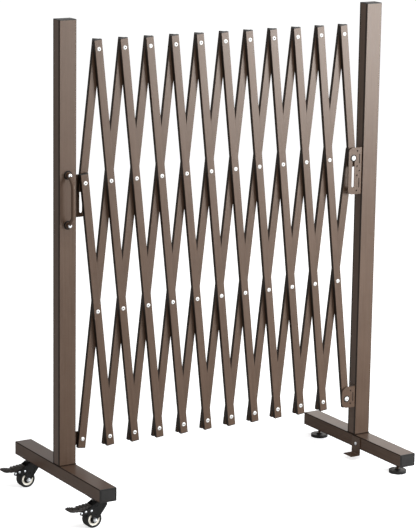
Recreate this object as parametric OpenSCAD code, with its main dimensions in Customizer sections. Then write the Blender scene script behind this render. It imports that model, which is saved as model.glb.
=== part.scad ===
// Expandable barrier gate: a riveted scissor lattice between a stand on casters and a fixed stand.
// Millimetres. X runs along the gate from the mobile stand to the fixed one, Y to the rear, Z up.
// The origin is on the floor, at the middle of the whole gate's footprint.

/* [Stands] */
// Width of the post and base tubes, along the gate
tube_w = 60; // [56:1:80]
// Depth of the post tube, and height of the base tube
tube_d = 44; // [38:1:60]
// Wall of the tubes
tube_wall = 2; // [1.5:0.1:3]
// Corner radius of the tubes
tube_r = 2; // [1.6:0.1:4]
// Length of the base tubes
base_len = 584; // [420:2:900]
// Height of the whole gate
gate_h = 1580; // [1540:5:1900]
// Thickness of the flange of a tube cap
cap_t = 3; // [2:0.5:6]
// How far a tube cap's plug goes into its tube
cap_plug = 15; // [8:1:30]
// Clearance round the plug of a tube or bar cap
cap_clear = 0.2; // [0.1:0.05:0.4]

/* [Lattice] */
// Distance between two rivets along a bar
seg_len = 425; // [380:1:430]
// Distance between two rivets in a row, in the pose of the model
rest_pitch = 93; // [60:1:120]
// Number of rivet pitches between the stands
pitch_count = 11; // [11:1:11]
// Width of a bar
bar_w = 27.5; // [20:0.5:28]
// Thickness of a bar
bar_t = 13.5; // [8:0.5:14]
// Wall of a bar
bar_wall = 1.2; // [0.8:0.1:2]
// Corner radius of a bar
bar_r = 1; // [0.9:0.1:2]
// Gap between the front and rear layer of bars, filled by washers
layer_gap = 0.8; // [0.5:0.1:2]
// From the last rivet of a bar to the end of its plug
bar_end = 31; // [24:1:40]
// Thickness of the flange of a bar plug
plug_t = 2.5; // [1:0.5:5]
// How far a bar plug goes into its bar
plug_len = 10; // [6:1:14]
// Height of the lowest row of rivets
low_row_z = 213; // [205:1:260]

/* [Rivets] */
// Radius of a rivet's shank
rivet_r = 3; // [2:0.25:4]
// Radius of a rivet's head
rivet_head_r = 7; // [5.5:0.5:9]
// Height of a rivet's head
rivet_head_h = 2.2; // [1.5:0.1:2.4]
// Radius of the mandrel hole in a rivet's head
mandrel_r = 1.7; // [1:0.1:1.9]
// Radius of a bracket rivet's head
big_head_r = 8.5; // [7:0.5:9]
// Radius of the spacers between the bars and the brackets
spacer_r = 8; // [6.5:0.5:9]
// Running clearance round a pin in its bore
run_clear = 0.08; // [0.05:0.01:0.1]

/* [Brackets] */
// From the post's face to the free edge of a bracket
bracket_w = 56; // [54:1:64]
// Thickness of the bracket plate
bracket_t = 2.5; // [1.5:0.5:3]
// Height of the fixed stand's slotted bracket
slot_bracket_h = 160; // [154:2:200]
// Height of the mobile stand's slotted bracket
mobile_bracket_h = 138; // [134:2:200]
// Height of the fixed stand's pivot bracket
pivot_bracket_h = 75; // [70:1:100]
// Height of the mobile stand's plain pivot bracket
mobile_pivot_h = 46; // [40:1:75]
// How far the middle of a pivot bracket lies above its pivot
pivot_offset = 5; // [0:1:8]
// From the post's face to the pivots of a bracket
pivot_reach = 37; // [37:1:40]
// Width of the slot
slot_w = 10; // [9:0.5:11]
// Length of the slot, end to end
slot_len = 112; // [110:1:116]
// From the middle of the slot up to the sliding rivet, in the pose of the model
slide_rest = 44.5; // [43:0.5:45]
// Depth of the flange that is screwed to the post
flange_d = 31; // [24:1:34]
// How far the bracket plate lies behind the front of the post
plate_setback = 2; // [0.1:0.1:2.5]
// Outer corner radius of the slotted brackets
plate_corner_r = 16; // [6:1:20]
// Outer corner radius of the pivot brackets
pivot_corner_r = 22; // [6:1:30]
// Radius of the small holes in the plates
small_hole_r = 3.2; // [1.5:0.1:4]
// Width of the slits beside the bend
slit_w = 3.6; // [1.5:0.1:4]

/* [Handle] */
// Distance between the two screws of the handle
handle_span = 160; // [140:2:200]
// Height of the handle's middle
handle_z = 1011; // [901:2:1101]
// Radius of the handle's bar
grip_r = 6; // [5:0.5:8]
// From the post to the outside of the grip
handle_reach = 40; // [38:1:55]
// Length of the straight grip
grip_len = 104; // [80:2:120]
// Radius of the handle's feet
handle_foot_r = 8.5; // [7:0.5:10]
// Height of the handle's feet
handle_foot_h = 15; // [12:0.5:18]
// Radius of the dark washers under the feet
handle_washer_r = 14; // [11:0.5:16]

/* [Casters] */
// Height of a caster, from the floor to the base tube
caster_h = 96; // [92:1:112]
// From the end of the base tube to a caster's axis
caster_inset = 64; // [60:1:90]
// Diameter of a wheel
wheel_d = 57; // [50:1:60]
// Width of a wheel
wheel_w = 31; // [18:1:34]
// Radius of the wheel's pale centre
centre_r = 20; // [16:0.5:21]
// Radius of the recessed hub
hub_r = 13; // [11:0.5:15]
// From the swivel axis back to the axle
trail = 24; // [22:1:30]
// Radius of the axle
axle_r = 4; // [3:0.25:5]
// Side of the square top plate
plate_side = 52; // [48:1:54]
// Thickness of the top plate
plate_t = 3; // [2:0.5:4]
// Radius of the raceway and of the fork's top
race_r = 21; // [18:1:24]
// Height of the raceway
race_h = 9; // [7:0.5:11]
// Radius of the kingpin
kingpin_r = 6; // [5:0.5:8]
// Height of the kingpin's retaining head
kingpin_head_h = 4; // [3:0.5:6]
// Thickness of the fork's sheet
fork_t = 2.5; // [2:0.1:3]
// From the swivel axis to the tip of the brake pedal
pedal_reach = 118; // [110:1:124]
// How far the pedal slants up from its pin to its tip
pedal_rise = 10; // [6:1:14]
// Length of the pedal's leaf
pedal_len = 48; // [42:1:54]
// Width of the pedal's leaf
pedal_w = 36; // [28:1:40]
// Thickness of the pedal's leaf
pedal_t = 13; // [6:0.5:16]

/* [Feet] */
// Height of the fixed stand's base tube above the floor
foot_h = 35; // [33:1:50]
// From the end of the base tube to a foot's axis
foot_inset = 56; // [50:1:90]
// Radius of a levelling foot's pad
pad_r = 30; // [24:1:32]
// Height of the pad
pad_h = 12; // [10:1:14]
// Radius of the threaded stud
stud_r = 5; // [4:0.25:6]
// Width of the nut across its flats
nut_flats = 17; // [15:1:22]
// Height of the nut
nut_h = 7; // [5:0.5:8]

/* [Floor bracket] */
// Width of the floor bracket
floor_w = 48; // [30:1:60]
// Length of the tab that is bolted to the floor
floor_tab = 37; // [30:1:60]
// Thickness of the floor bracket
floor_t = 3; // [2:0.5:5]
// Height of the floor bracket
floor_bracket_h = 61; // [54:1:64]
// Height of the tab above the floor, in the pose of the model
floor_lift = 13; // [0:1:14]
// Radius of the fixing hole in the tab
floor_hole_r = 4; // [3:0.25:6]
// From the middle of the base to the middle of the floor bracket
floor_offset = 34; // [25:1:60]

/* [Hidden] */
BARS = 12;
function two(i) = str(i < 10 ? "0" : "", i);

e = 0.01;
bronze = [0.43, 0.37, 0.33];
plastic = [0.12, 0.12, 0.12];
alu = [0.85, 0.85, 0.85];
cream = [0.88, 0.82, 0.72];

// Lattice: rivet rows are 1 (top) to 4, half pitches 0 to 22 count from the mobile stand
half_pitch = rest_pitch / 2;
lean = asin(half_pitch / seg_len);
row_rise = seg_len * cos(lean);
last_half = 2 * pitch_count;
stand_gap = last_half * half_pitch + 2 * pivot_reach + tube_w;
mobile_x = -(stand_gap + tube_w / 2 - pedal_reach) / 2;
fixed_x = mobile_x + stand_gap;
lattice_x = mobile_x + tube_w / 2 + pivot_reach;
function pivot_x(u) = lattice_x + u * half_pitch;
function row_z(r) = low_row_z + (4 - r) * row_rise;
// Faces of the two layers of bars, counted from the lattice's middle plane
bar_in = layer_gap / 2;
bar_out = bar_in + bar_t;
// The bracket plates
plate_out = tube_d / 2 - plate_setback;
plate_in = plate_out - bracket_t;
slot_mid_z = row_z(2) - slide_rest;
bend_r = bracket_t + 3;
bush_clear = 0.2;
// The small holes and slits in the bracket plates, from the post's face and the plate's middle
hole_x = -21.5;
slit_x = -12.5;
near_hole_dz = 16;
end_hole_inset = 12;
slit_dz = 41;
slit_len = 33;
pivot_hole_dz = 23;
// Stands
mobile_base_z = caster_h;
fixed_base_z = foot_h;
full_base = base_len + 2 * cap_t;
caster_y = full_base / 2 - caster_inset;
foot_y = full_base / 2 - foot_inset;
// Screws
screw_r = 2.5;
screw_head_r = 6;
screw_head_h = 3;
stud_clear = 0.5;
floor_screw_z = fixed_base_z + tube_d / 2 - 6;

// A rectangle with rounded corners, exact arcs
module round_rect(w, d, r) {
    square([w - 2 * r, d], center = true);
    square([w, d - 2 * r], center = true);
    for (sx = [-1, 1], sy = [-1, 1])
        translate([sx * (w / 2 - r), sy * (d / 2 - r)]) circle(r = r, $fn = 32);
}

// An upright rectangular tube, from the origin upwards
module tube(w, d, len, wall, r) {
    linear_extrude(len) difference() {
        round_rect(w, d, r);
        round_rect(w - 2 * wall, d - 2 * wall, max(r - wall, 0.3));
    }
}

// A cap with its flange on the end of a tube and its plug inside, upright, seated at the origin
module cap(w, d, wall, r, flange, plug, clear) {
    soft = min(1, flange / 3);
    plug_w = w - 2 * (wall + clear);
    plug_d = d - 2 * (wall + clear);
    linear_extrude(flange - soft) round_rect(w, d, r);
    translate([0, 0, flange - soft]) linear_extrude(soft)
        round_rect(w - 2 * soft, d - 2 * soft, r - soft / 2);
    translate([0, 0, -plug]) linear_extrude(plug + e) round_rect(plug_w, plug_d, 0.5);
}

// A hole or pin along Y, from y0 to y1
module along_y(r, y0, y1, fn = 48) {
    translate([0, y0, 0]) rotate([-90, 0, 0]) cylinder(r = r, h = y1 - y0, $fn = fn);
}

// A hole or pin along X, from x0 to x1
module along_x(r, x0, x1, fn = 48) {
    translate([x0, 0, 0]) rotate([0, 90, 0]) cylinder(r = r, h = x1 - x0, $fn = fn);
}

// A domed disc with a blind hole, standing on the plane z = 0
module domed_head(r, h, hole_r) {
    dome = (r * r + h * h) / (2 * h);
    difference() {
        intersection() {
            translate([0, 0, h - dome]) sphere(r = dome, $fn = 96);
            cylinder(r = r, h = h, $fn = 48);
        }
        if (hole_r > 0) translate([0, 0, h * 0.35]) cylinder(r = hole_r, h = h, $fn = 32);
    }
}

// A pan-head screw with a cross recess, its head on the plane z = 0 and its shank below
module screw(len, head_r = screw_head_r) {
    difference() {
        union() {
            domed_head(head_r, screw_head_h, 0);
            translate([0, 0, -len]) cylinder(r = screw_r, h = len + e, $fn = 32);
        }
        for (a = [0, 90]) rotate([0, 0, a])
            translate([-head_r * 0.5, -0.6, screw_head_h * 0.5]) cube([head_r, 1.2, screw_head_h]);
    }
}

// Rivet from the seat of its front head at y0 to the seat of its rear head at y1
module rivet(y0, y1, head_r = rivet_head_r) {
    along_y(rivet_r, y0 - e, y1 + e);
    translate([0, y0, 0]) rotate([90, 0, 0]) domed_head(head_r, rivet_head_h, mandrel_r);
    translate([0, y1, 0]) rotate([-90, 0, 0]) domed_head(rivet_head_r * 0.8, rivet_head_h, 0);
}

// A ring along Y
module ring_y(r, hole_r, y0, y1) {
    difference() {
        along_y(r, y0, y1);
        along_y(hole_r, y0 - 1, y1 + 1);
    }
}

// Stands

// The heights of the screws in a bracket's flange, counted from its middle
slot_screws = [-1, 0, 1] * min(slot_bracket_h, mobile_bracket_h) * 0.4;
pivot_screws = [-1, 1] * mobile_pivot_h * 0.3;
bracket_screw_z = concat(
    [for (dz = slot_screws) slot_mid_z + dz],
    [for (dz = pivot_screws) row_z(4) + dz]);

// The screw holes of both brackets in a post's side, side = 1 for its right face and -1 for its left
module bracket_screw_holes(side) {
    for (z = bracket_screw_z) translate([side * tube_w / 2, 0, z])
        along_x(screw_r, -tube_wall - 1, tube_wall + 1, 32);
}

module mobile_post() {
    base_top = mobile_base_z + tube_d;
    color(bronze) translate([mobile_x, 0, 0]) difference() {
        translate([0, 0, base_top]) tube(tube_w, tube_d, gate_h - cap_t - base_top, tube_wall, tube_r);
        bracket_screw_holes(1);
        for (s = [-1, 1]) translate([0, 0, handle_z + s * handle_span / 2])
            along_y(screw_r, -tube_d, 0, 32);
    }
}

module fixed_post() {
    base_top = fixed_base_z + tube_d;
    color(bronze) translate([fixed_x, 0, 0]) difference() {
        translate([0, 0, base_top]) tube(tube_w, tube_d, gate_h - cap_t - base_top, tube_wall, tube_r);
        bracket_screw_holes(-1);
    }
}

// A base tube along Y, its underside on the plane z = 0
module base_tube() {
    translate([0, -base_len / 2, tube_d / 2]) rotate([-90, 0, 0])
        tube(tube_w, tube_d, base_len, tube_wall, tube_r);
}

module mobile_base() {
    color(bronze) translate([mobile_x, 0, mobile_base_z]) difference() {
        base_tube();
        for (s = [-1, 1]) translate([0, s * caster_y, 0]) plate_screws()
            cylinder(r = screw_r, h = 4 * tube_wall, center = true, $fn = 32);
    }
}

module fixed_base() {
    color(bronze) translate([fixed_x, 0, fixed_base_z]) difference() {
        base_tube();
        for (s = [-1, 1]) translate([0, s * foot_y, -1])
            cylinder(r = stud_r + stud_clear, h = tube_wall + 2, $fn = 48);
        translate([-tube_w / 2, -floor_offset, floor_screw_z - fixed_base_z])
            along_x(screw_r, -1, tube_wall + 1, 32);
    }
}

// The three caps of a stand whose base tube's underside is at base_z
module stand_caps(base_z) {
    translate([0, 0, gate_h - cap_t]) cap(tube_w, tube_d, tube_wall, tube_r, cap_t, cap_plug, cap_clear);
    for (a = [0, 180]) rotate([0, 0, a]) translate([0, -base_len / 2, base_z + tube_d / 2])
        rotate([90, 0, 0]) cap(tube_w, tube_d, tube_wall, tube_r, cap_t, cap_plug, cap_clear);
}

module mobile_caps() {
    color(plastic) translate([mobile_x, 0, 0]) stand_caps(mobile_base_z);
}

module fixed_caps() {
    color(plastic) translate([fixed_x, 0, 0]) stand_caps(fixed_base_z);
}

// Brackets: built for the fixed post, whose side face is the plane x = 0, and centred on z = 0

// The quarter ring of a bent sheet, its centre at the origin
module bend_section(r, t) {
    intersection() {
        difference() {
            circle(r = r, $fn = 48);
            circle(r = r - t, $fn = 48);
        }
        translate([0, -r]) square(r);
    }
}

// The L-shaped section: the plate runs to -x, the flange lies on the post's face
module bracket_section() {
    translate([-bracket_w, -plate_out]) square([bracket_w - bend_r, bracket_t]);
    translate([-bracket_t, -plate_out + bend_r]) square([bracket_t, flange_d - bend_r]);
    translate([-bend_r, -plate_out + bend_r]) bend_section(bend_r, bracket_t);
}

// The outline of a bracket seen from the front, with its free corners rounded
module bracket_outline(h, r) {
    translate([-bracket_w + r, -h / 2]) square([bracket_w - r + 1, h]);
    translate([-bracket_w, -h / 2 + r]) square([r + 1, h - 2 * r]);
    for (s = [-1, 1]) translate([-bracket_w + r, s * (h / 2 - r)]) circle(r = r, $fn = 64);
}

// A slot along z with round ends, cut through the plate
module slot_cut(w, len) {
    translate([-w / 2, -tube_d, -(len - w) / 2]) cube([w, tube_d, len - w]);
    for (s = [-1, 1]) translate([0, 0, s * (len - w) / 2]) along_y(w / 2, -tube_d, 0);
}

// A bent plate of height h with its screw holes
module plain_bracket(h, corner_r, screws) {
    difference() {
        intersection() {
            linear_extrude(h, center = true) bracket_section();
            rotate([90, 0, 0]) linear_extrude(2 * tube_d, center = true) bracket_outline(h, corner_r);
        }
        for (dz = screws) translate([0, 0, dz]) along_x(screw_r, -bracket_t - 1, 1, 32);
    }
}

// A small hole through the plate
module small_hole(x, z) {
    translate([x, 0, z]) along_y(small_hole_r, -tube_d, 0, 32);
}

// Bracket of height h with the long slot, on the fixed stand also pierced with small holes and slits
module slotted_bracket(h, pierced) {
    difference() {
        plain_bracket(h, plate_corner_r, slot_screws);
        translate([-pivot_reach, 0, 0]) slot_cut(slot_w, slot_len);
        if (pierced) {
            for (s = [-1, 1]) {
                for (dz = [near_hole_dz, h / 2 - end_hole_inset]) small_hole(hole_x, s * dz);
                translate([slit_x, 0, s * slit_dz]) slot_cut(slit_w, slit_len);
            }
            small_hole(slit_x, 0);
        }
    }
}

// Bracket of height h with the lower pivot, its middle above the pivot by offset
module pivot_bracket(h, offset, pierced) {
    translate([0, 0, offset]) difference() {
        plain_bracket(h, min(pivot_corner_r, h / 3), [for (dz = pivot_screws) dz - offset]);
        translate([-pivot_reach, 0, -offset]) along_y(rivet_r + run_clear, -tube_d, 0);
        if (pierced) {
            for (s = [-1, 1]) small_hole(hole_x, s * pivot_hole_dz);
            translate([slit_x + 1.5, 0, 0]) slot_cut(slit_w, slit_len);
        }
    }
}

module fixed_brackets() {
    color(bronze) translate([fixed_x - tube_w / 2, 0, 0]) {
        translate([0, 0, slot_mid_z]) slotted_bracket(slot_bracket_h, true);
        translate([0, 0, row_z(4)]) pivot_bracket(pivot_bracket_h, pivot_offset, true);
    }
}

module mobile_brackets() {
    color(bronze) translate([mobile_x + tube_w / 2, 0, 0]) rotate([0, 0, 180]) {
        translate([0, 0, slot_mid_z]) slotted_bracket(mobile_bracket_h, false);
        translate([0, 0, row_z(4)]) pivot_bracket(mobile_pivot_h, 0, false);
    }
}

// The screws of both brackets, as for the fixed post
module bracket_screws() {
    for (z = bracket_screw_z) translate([-bracket_t, 0, z]) rotate([0, -90, 0])
        screw(bracket_t + tube_wall + 4, 5);
}

// Screws on the mobile stand, with the rivet of its pivot bracket
module mobile_screws() {
    color(alu) {
        translate([mobile_x + tube_w / 2, 0, 0]) rotate([0, 0, 180]) bracket_screws();
        for (s = [-1, 1]) translate([mobile_x, -tube_d / 2 - handle_foot_h, handle_z + s * handle_span / 2])
            rotate([90, 0, 0]) screw(handle_foot_h + tube_wall + 5, handle_foot_r - 0.7);
        for (s = [-1, 1]) translate([mobile_x, s * caster_y, mobile_base_z - plate_t])
            plate_screws() rotate([180, 0, 0]) screw(plate_t + tube_wall + 4, 4);
        translate([pivot_x(0), 0, row_z(4)]) {
            rivet(bar_in, plate_out);
            ring_y(spacer_r, rivet_r, bar_out, plate_in);
        }
    }
}

// Screws on the fixed stand, with the nuts of its levelling feet
module fixed_screws() {
    color(alu) {
        translate([fixed_x - tube_w / 2, 0, 0]) bracket_screws();
        translate([fixed_x - tube_w / 2 - floor_t, -floor_offset, floor_screw_z])
            rotate([0, -90, 0]) screw(floor_t + tube_wall + 4);
        for (s = [-1, 1]) translate([fixed_x, s * foot_y, foot_h - nut_h]) difference() {
            cylinder(r = nut_flats / sqrt(3), h = nut_h, $fn = 6);
            translate([0, 0, -1]) cylinder(r = stud_r + run_clear, h = nut_h + 2, $fn = 48);
        }
    }
}

// Floor bracket: a strap on the base tube's side, and a tab with a fixing hole
module floor_bracket() {
    bend = floor_t + 2;
    side_x = fixed_x - tube_w / 2;
    color(bronze) translate([side_x, -floor_offset, floor_lift]) difference() {
        union() {
            translate([-floor_t, -floor_w / 2, bend]) cube([floor_t, floor_w, floor_bracket_h - bend]);
            translate([-floor_tab, -floor_w / 2, 0]) cube([floor_tab - bend, floor_w, floor_t]);
            translate([-bend, 0, bend]) rotate([90, 0, 0])
                linear_extrude(floor_w, center = true) bend_section(bend, floor_t);
        }
        translate([-floor_tab / 2 - bend / 2, 0, -1]) cylinder(r = floor_hole_r, h = floor_t + 2, $fn = 48);
        translate([0, 0, floor_screw_z - floor_lift]) along_x(screw_r, -floor_t - 1, 1, 32);
    }
}

// Levelling foot: a pad with a neck, and its stud up through the nut into the base tube
module levelling_foot() {
    neck_r = stud_r + 4;
    lip = 1.5;
    stud_top = fixed_base_z + tube_d - tube_wall - 14;
    rotate_extrude($fn = 96) polygon([[0, 0], [pad_r - 1, 0], [pad_r, 1], [pad_r, pad_h - lip - 2],
        [pad_r - 2, pad_h - lip], [neck_r, pad_h - 1], [neck_r - 1, pad_h + 1], [0, pad_h + 1]]);
    translate([0, 0, pad_h]) cylinder(r = stud_r, h = stud_top - pad_h, $fn = 48);
}

module front_foot() {
    color(plastic) translate([fixed_x, -foot_y, 0]) levelling_foot();
}

module rear_foot() {
    color(plastic) translate([fixed_x, foot_y, 0]) levelling_foot();
}

// Handle: two bored feet, two slanting arms and a straight grip, in front of the mobile post
module pull_handle() {
    half = handle_span / 2;
    grip_y = -tube_d / 2 - handle_reach + grip_r;
    foot_mid = -tube_d / 2 - handle_foot_h + grip_r;
    rise = half - grip_len / 2;
    run = foot_mid - grip_y;
    arm = sqrt(rise * rise + run * run);
    // the rod swells a little where it bends
    bend_swell = 0.2;
    color(bronze) translate([mobile_x, 0, handle_z]) difference() {
        union() {
            translate([0, grip_y, -grip_len / 2]) cylinder(r = grip_r, h = grip_len, $fn = 48);
            for (s = [-1, 1]) {
                translate([0, grip_y, s * grip_len / 2]) sphere(r = grip_r + bend_swell, $fn = 48);
                translate([0, grip_y, s * grip_len / 2]) rotate([s * -atan2(run, rise), 0, 0])
                    mirror([0, 0, s < 0 ? 1 : 0]) cylinder(r = grip_r, h = arm, $fn = 48);
                translate([0, 0, s * half]) {
                    along_y(handle_foot_r, -tube_d / 2 - handle_foot_h, -tube_d / 2 - 2);
                    along_y(handle_washer_r, -tube_d / 2 - 2 - e, -tube_d / 2);
                }
            }
        }
        for (s = [-1, 1]) translate([0, 0, s * half]) {
            along_y(screw_r, -tube_d, 0, 32);
            along_y(handle_foot_r, -tube_d * 2, -tube_d / 2 - handle_foot_h);
        }
    }
}

// Casters, built with the swivel axis on z and the pedal towards -x

axle_z = wheel_d / 2;
plate_z = caster_h - plate_t;
fork_top = plate_z - race_h;
fork_inner = wheel_w / 2 + 1;
fork_outer = fork_inner + fork_t;
// The cross pin that the brake pedal turns on
pin_x = -trail - 31;
pin_z = axle_z + 31;
pin_r = 2.5;

// The four screw places of a caster's top plate
module plate_screws() {
    for (sx = [-1, 1], sy = [-1, 1]) translate([sx, sy, 0] * (plate_side / 2 - 6)) children();
}

// Top plate with its raceway and kingpin, which carries the fork on a retaining head
module caster_plate() {
    play = 0.3;
    head_z = fork_top - fork_t - play;
    difference() {
        translate([0, 0, plate_z]) linear_extrude(plate_t) round_rect(plate_side, plate_side, 5);
        translate([0, 0, caster_h]) plate_screws()
            cylinder(r = screw_r, h = 3 * plate_t, center = true, $fn = 32);
    }
    rotate_extrude($fn = 96) polygon([[0, fork_top + play], [race_r - 2, fork_top + play],
        [race_r, fork_top + 2], [race_r - 1, plate_z - 3], [race_r - 6, plate_z + e], [0, plate_z + e]]);
    translate([0, 0, head_z - e]) cylinder(r = kingpin_r, h = fork_top - head_z + 1, $fn = 48);
    translate([0, 0, head_z - kingpin_head_h]) cylinder(r = kingpin_r + 3, h = kingpin_head_h, $fn = 48);
}

// The side of the fork: from the round top down to the axle, with a nose that carries the brake
module fork_side() {
    boss_r = 11;
    difference() {
        union() {
            polygon([[race_r, fork_top], [race_r, fork_top - 12], [-trail + boss_r, axle_z - 2],
                [-trail - 7, axle_z + 4], [-trail - 12, axle_z + 22], [pin_x - 14, pin_z - 11],
                [pin_x - 19, pin_z - 9], [pin_x - 22, pin_z - 4], [pin_x - 18, pin_z],
                [pin_x - 4, pin_z + 5],
                [pin_x + 14, pin_z + 9], [-race_r, fork_top - 3], [-race_r + 4, fork_top]]);
            translate([-trail, axle_z]) circle(r = boss_r, $fn = 48);
        }
        translate([-trail, axle_z]) circle(r = axle_r, $fn = 48);
        translate([pin_x, pin_z]) circle(r = pin_r, $fn = 32);
    }
}

// Fork: a pressed hood with a cheek on each side of the wheel
module caster_fork() {
    difference() {
        union() {
            rotate([90, 0, 0]) linear_extrude(2 * fork_outer, center = true) fork_side();
            translate([0, 0, fork_top - 8]) cylinder(r1 = race_r - 4, r2 = race_r, h = 8, $fn = 96);
        }
        // the space for the wheel and the pedal's arm, open below and in front
        translate([-pedal_reach, -fork_inner, 0])
            cube([pedal_reach + race_r - fork_t, 2 * fork_inner, fork_top - fork_t]);
        translate([0, 0, fork_top - 2 * fork_t])
            cylinder(r = kingpin_r + run_clear, h = 3 * fork_t, $fn = 48);
    }
}

// Axle bolt with its head and domed nut, the brake's cross pin, and rivets on the cheeks
module caster_pins() {
    nut_t = 7;
    nut_r = 7.5;
    dome_r = 5.8;
    // rivets on the cheeks, counted from the brake's cross pin
    cheek_rivets = [[0, 0], [20, 0], [-15, -3.5]];
    translate([-trail, 0, axle_z]) {
        along_y(axle_r, -fork_outer - e, fork_outer + e);
        for (s = [-1, 1]) mirror([0, s > 0 ? 1 : 0, 0]) {
            translate([0, -fork_outer - nut_t, 0]) along_y(nut_r, 0, nut_t, 6);
            if (s < 0) translate([0, -fork_outer - nut_t + e, 0]) rotate([90, 0, 0])
                domed_head(dome_r, nut_t, 0);
        }
    }
    translate([pin_x, 0, pin_z]) along_y(pin_r, -fork_outer, fork_outer);
    for (p = cheek_rivets, s = [0, 1])
        translate([pin_x + p[0], 0, pin_z + p[1]]) mirror([0, s, 0])
            translate([0, -fork_outer, 0]) rotate([90, 0, 0]) domed_head(4, 1.6, 0);
}

// Wheel: a rounded tyre round a pale centre with a recessed hub
module caster_wheel() {
    w = wheel_w / 2;
    r = wheel_d / 2;
    soft = 4;
    translate([-trail, 0, axle_z]) rotate([90, 0, 0]) {
        rotate_extrude($fn = 96) {
            translate([centre_r, -w + soft]) square([r - centre_r, 2 * (w - soft)]);
            translate([centre_r, -w]) square([r - soft - centre_r, 2 * w]);
            for (s = [-1, 1]) translate([r - soft, s * (w - soft)]) circle(r = soft, $fn = 32);
        }
        rotate_extrude($fn = 96) {
            translate([hub_r, -w + 0.6]) square([centre_r - hub_r, 2 * w - 1.2]);
            translate([axle_r + 4, -w + 3]) square([hub_r - axle_r - 4 + e, 2 * w - 6]);
            translate([axle_r + run_clear, -w]) square([4 - run_clear + e, 2 * w]);
        }
    }
}

// Brake pedal: a bored, stepped arm between the cheeks, and a broad leaf with cross ribs and a round belly
module brake_pedal() {
    arm_w = 2 * fork_inner - 2;
    slant = atan2(pedal_rise, pedal_reach + pin_x);
    top = 5.5;
    tip = (pedal_reach + pin_x + top * sin(slant)) / cos(slant);
    half = pedal_len / 2;
    half_w = pedal_w / 2;
    // two arcs of this radius make the leaf's pointed outline, one of belly_r its underside
    side_r = (half * half + half_w * half_w) / (2 * half_w);
    belly_r = 45;
    ribs = 5;
    rib_h = 1.5;
    low = top - pedal_t;
    // the arm's steps, from the one under the fork's top outwards
    step_len = 11;
    step_tops = [20, 17.5, 14.5, 11.5];
    inner_end = 21;
    step_w = arm_w - 4;
    translate([pin_x, 0, pin_z]) rotate([0, slant, 0]) difference() {
        union() {
            along_y(6, -arm_w / 2, arm_w / 2);
            translate([-tip + half, -arm_w / 2, -3]) cube([tip - half, arm_w, top + 2]);
            for (i = [0:len(step_tops) - 1]) translate([inner_end - (i + 1) * step_len, -step_w / 2, 0])
                cube([step_len + e, step_w, step_tops[i]]);
            intersection() {
                translate([half - tip, 0, low]) linear_extrude(pedal_t + rib_h)
                    intersection_for(s = [-1, 1])
                        translate([0, s * (side_r - half_w)]) circle(r = side_r, $fn = 96);
                translate([half - tip, 0, low + belly_r]) sphere(r = belly_r, $fn = 96);
                union() {
                    translate([-tip, -half_w, low]) cube([pedal_len, pedal_w, pedal_t]);
                    for (i = [1:ribs]) translate([-tip + i * pedal_len / (ribs + 1.5), -half_w, low])
                        cube([3, pedal_w, pedal_t + rib_h]);
                }
            }
        }
        along_y(pin_r + run_clear, -arm_w, arm_w);
    }
}

// Puts a caster's piece on its place, s = -1 for the front caster and 1 for the rear one
module at_caster(s) {
    translate([mobile_x, s * caster_y, 0]) children();
}

module caster_plates() {
    color(plastic) for (s = [-1, 1]) at_caster(s) caster_plate();
}

module front_caster_fork() { color(plastic) at_caster(-1) caster_fork(); }
module rear_caster_fork() { color(plastic) at_caster(1) caster_fork(); }
module front_caster_pins() { color(alu) at_caster(-1) caster_pins(); }
module rear_caster_pins() { color(alu) at_caster(1) caster_pins(); }
module front_caster_wheel() { color(cream) at_caster(-1) caster_wheel(); }
module rear_caster_wheel() { color(cream) at_caster(1) caster_wheel(); }
module front_brake_pedal() { color(plastic) at_caster(-1) brake_pedal(); }
module rear_brake_pedal() { color(plastic) at_caster(1) brake_pedal(); }

// Lattice. Front bars slant down to the right, rear bars down to the left. Front bar i crosses rear bar
// i + row - 2 at each row. The first and last bar of a layer are short.

function front_top(i) = i == 1 ? 2 : 1;
function front_low(i) = i == BARS ? 2 : 4;
function front_u(i, r) = 2 * i - 4 + r;
function rear_top(i) = i == BARS ? 2 : 1;
function rear_low(i) = i == 1 ? 2 : 4;
function rear_u(i, r) = 2 * i - r;

// An upright bar with its lowest rivet hole at the origin, its near face at y = 0
module bar(rows, hole_r) {
    len = (rows - 1) * seg_len;
    body = bar_end - plug_t;
    mid = bar_t / 2;
    difference() {
        translate([0, mid, -body]) tube(bar_w, bar_t, len + 2 * body, bar_wall, bar_r);
        for (k = [0:rows - 1]) translate([0, 0, k * seg_len]) along_y(hole_r, -1, bar_t + 1);
    }
    for (s = [0, 1]) translate([0, mid, s ? len + body : -body]) mirror([0, 0, 1 - s])
        cap(bar_w, bar_t, bar_wall, bar_r, plug_t, plug_len, cap_clear);
}

module front_bar(i) {
    top = front_top(i);
    low = front_low(i);
    color(bronze) translate([pivot_x(front_u(i, low)), -bar_out, row_z(low)]) rotate([0, -lean, 0])
        bar(low - top + 1, rivet_r);
}

module rear_bar(i) {
    top = rear_top(i);
    low = rear_low(i);
    color(bronze) translate([pivot_x(rear_u(i, low)), bar_in, row_z(low)]) rotate([0, lean, 0])
        bar(low - top + 1, rivet_r + run_clear);
}

// The rivets that front bar i carries, each with its washer
module rivets(i) {
    color(alu) for (r = [front_top(i):front_low(i)]) {
        u = front_u(i, r);
        translate([pivot_x(u), 0, row_z(r)]) {
            if (u == last_half) fixed_side_rivet(r == 2);
            else if (u == 0) mobile_side_rivet();
            else {
                rivet(-bar_out, bar_out);
                ring_y(rivet_head_r, rivet_r, -bar_in, bar_in);
            }
        }
    }
}

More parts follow.
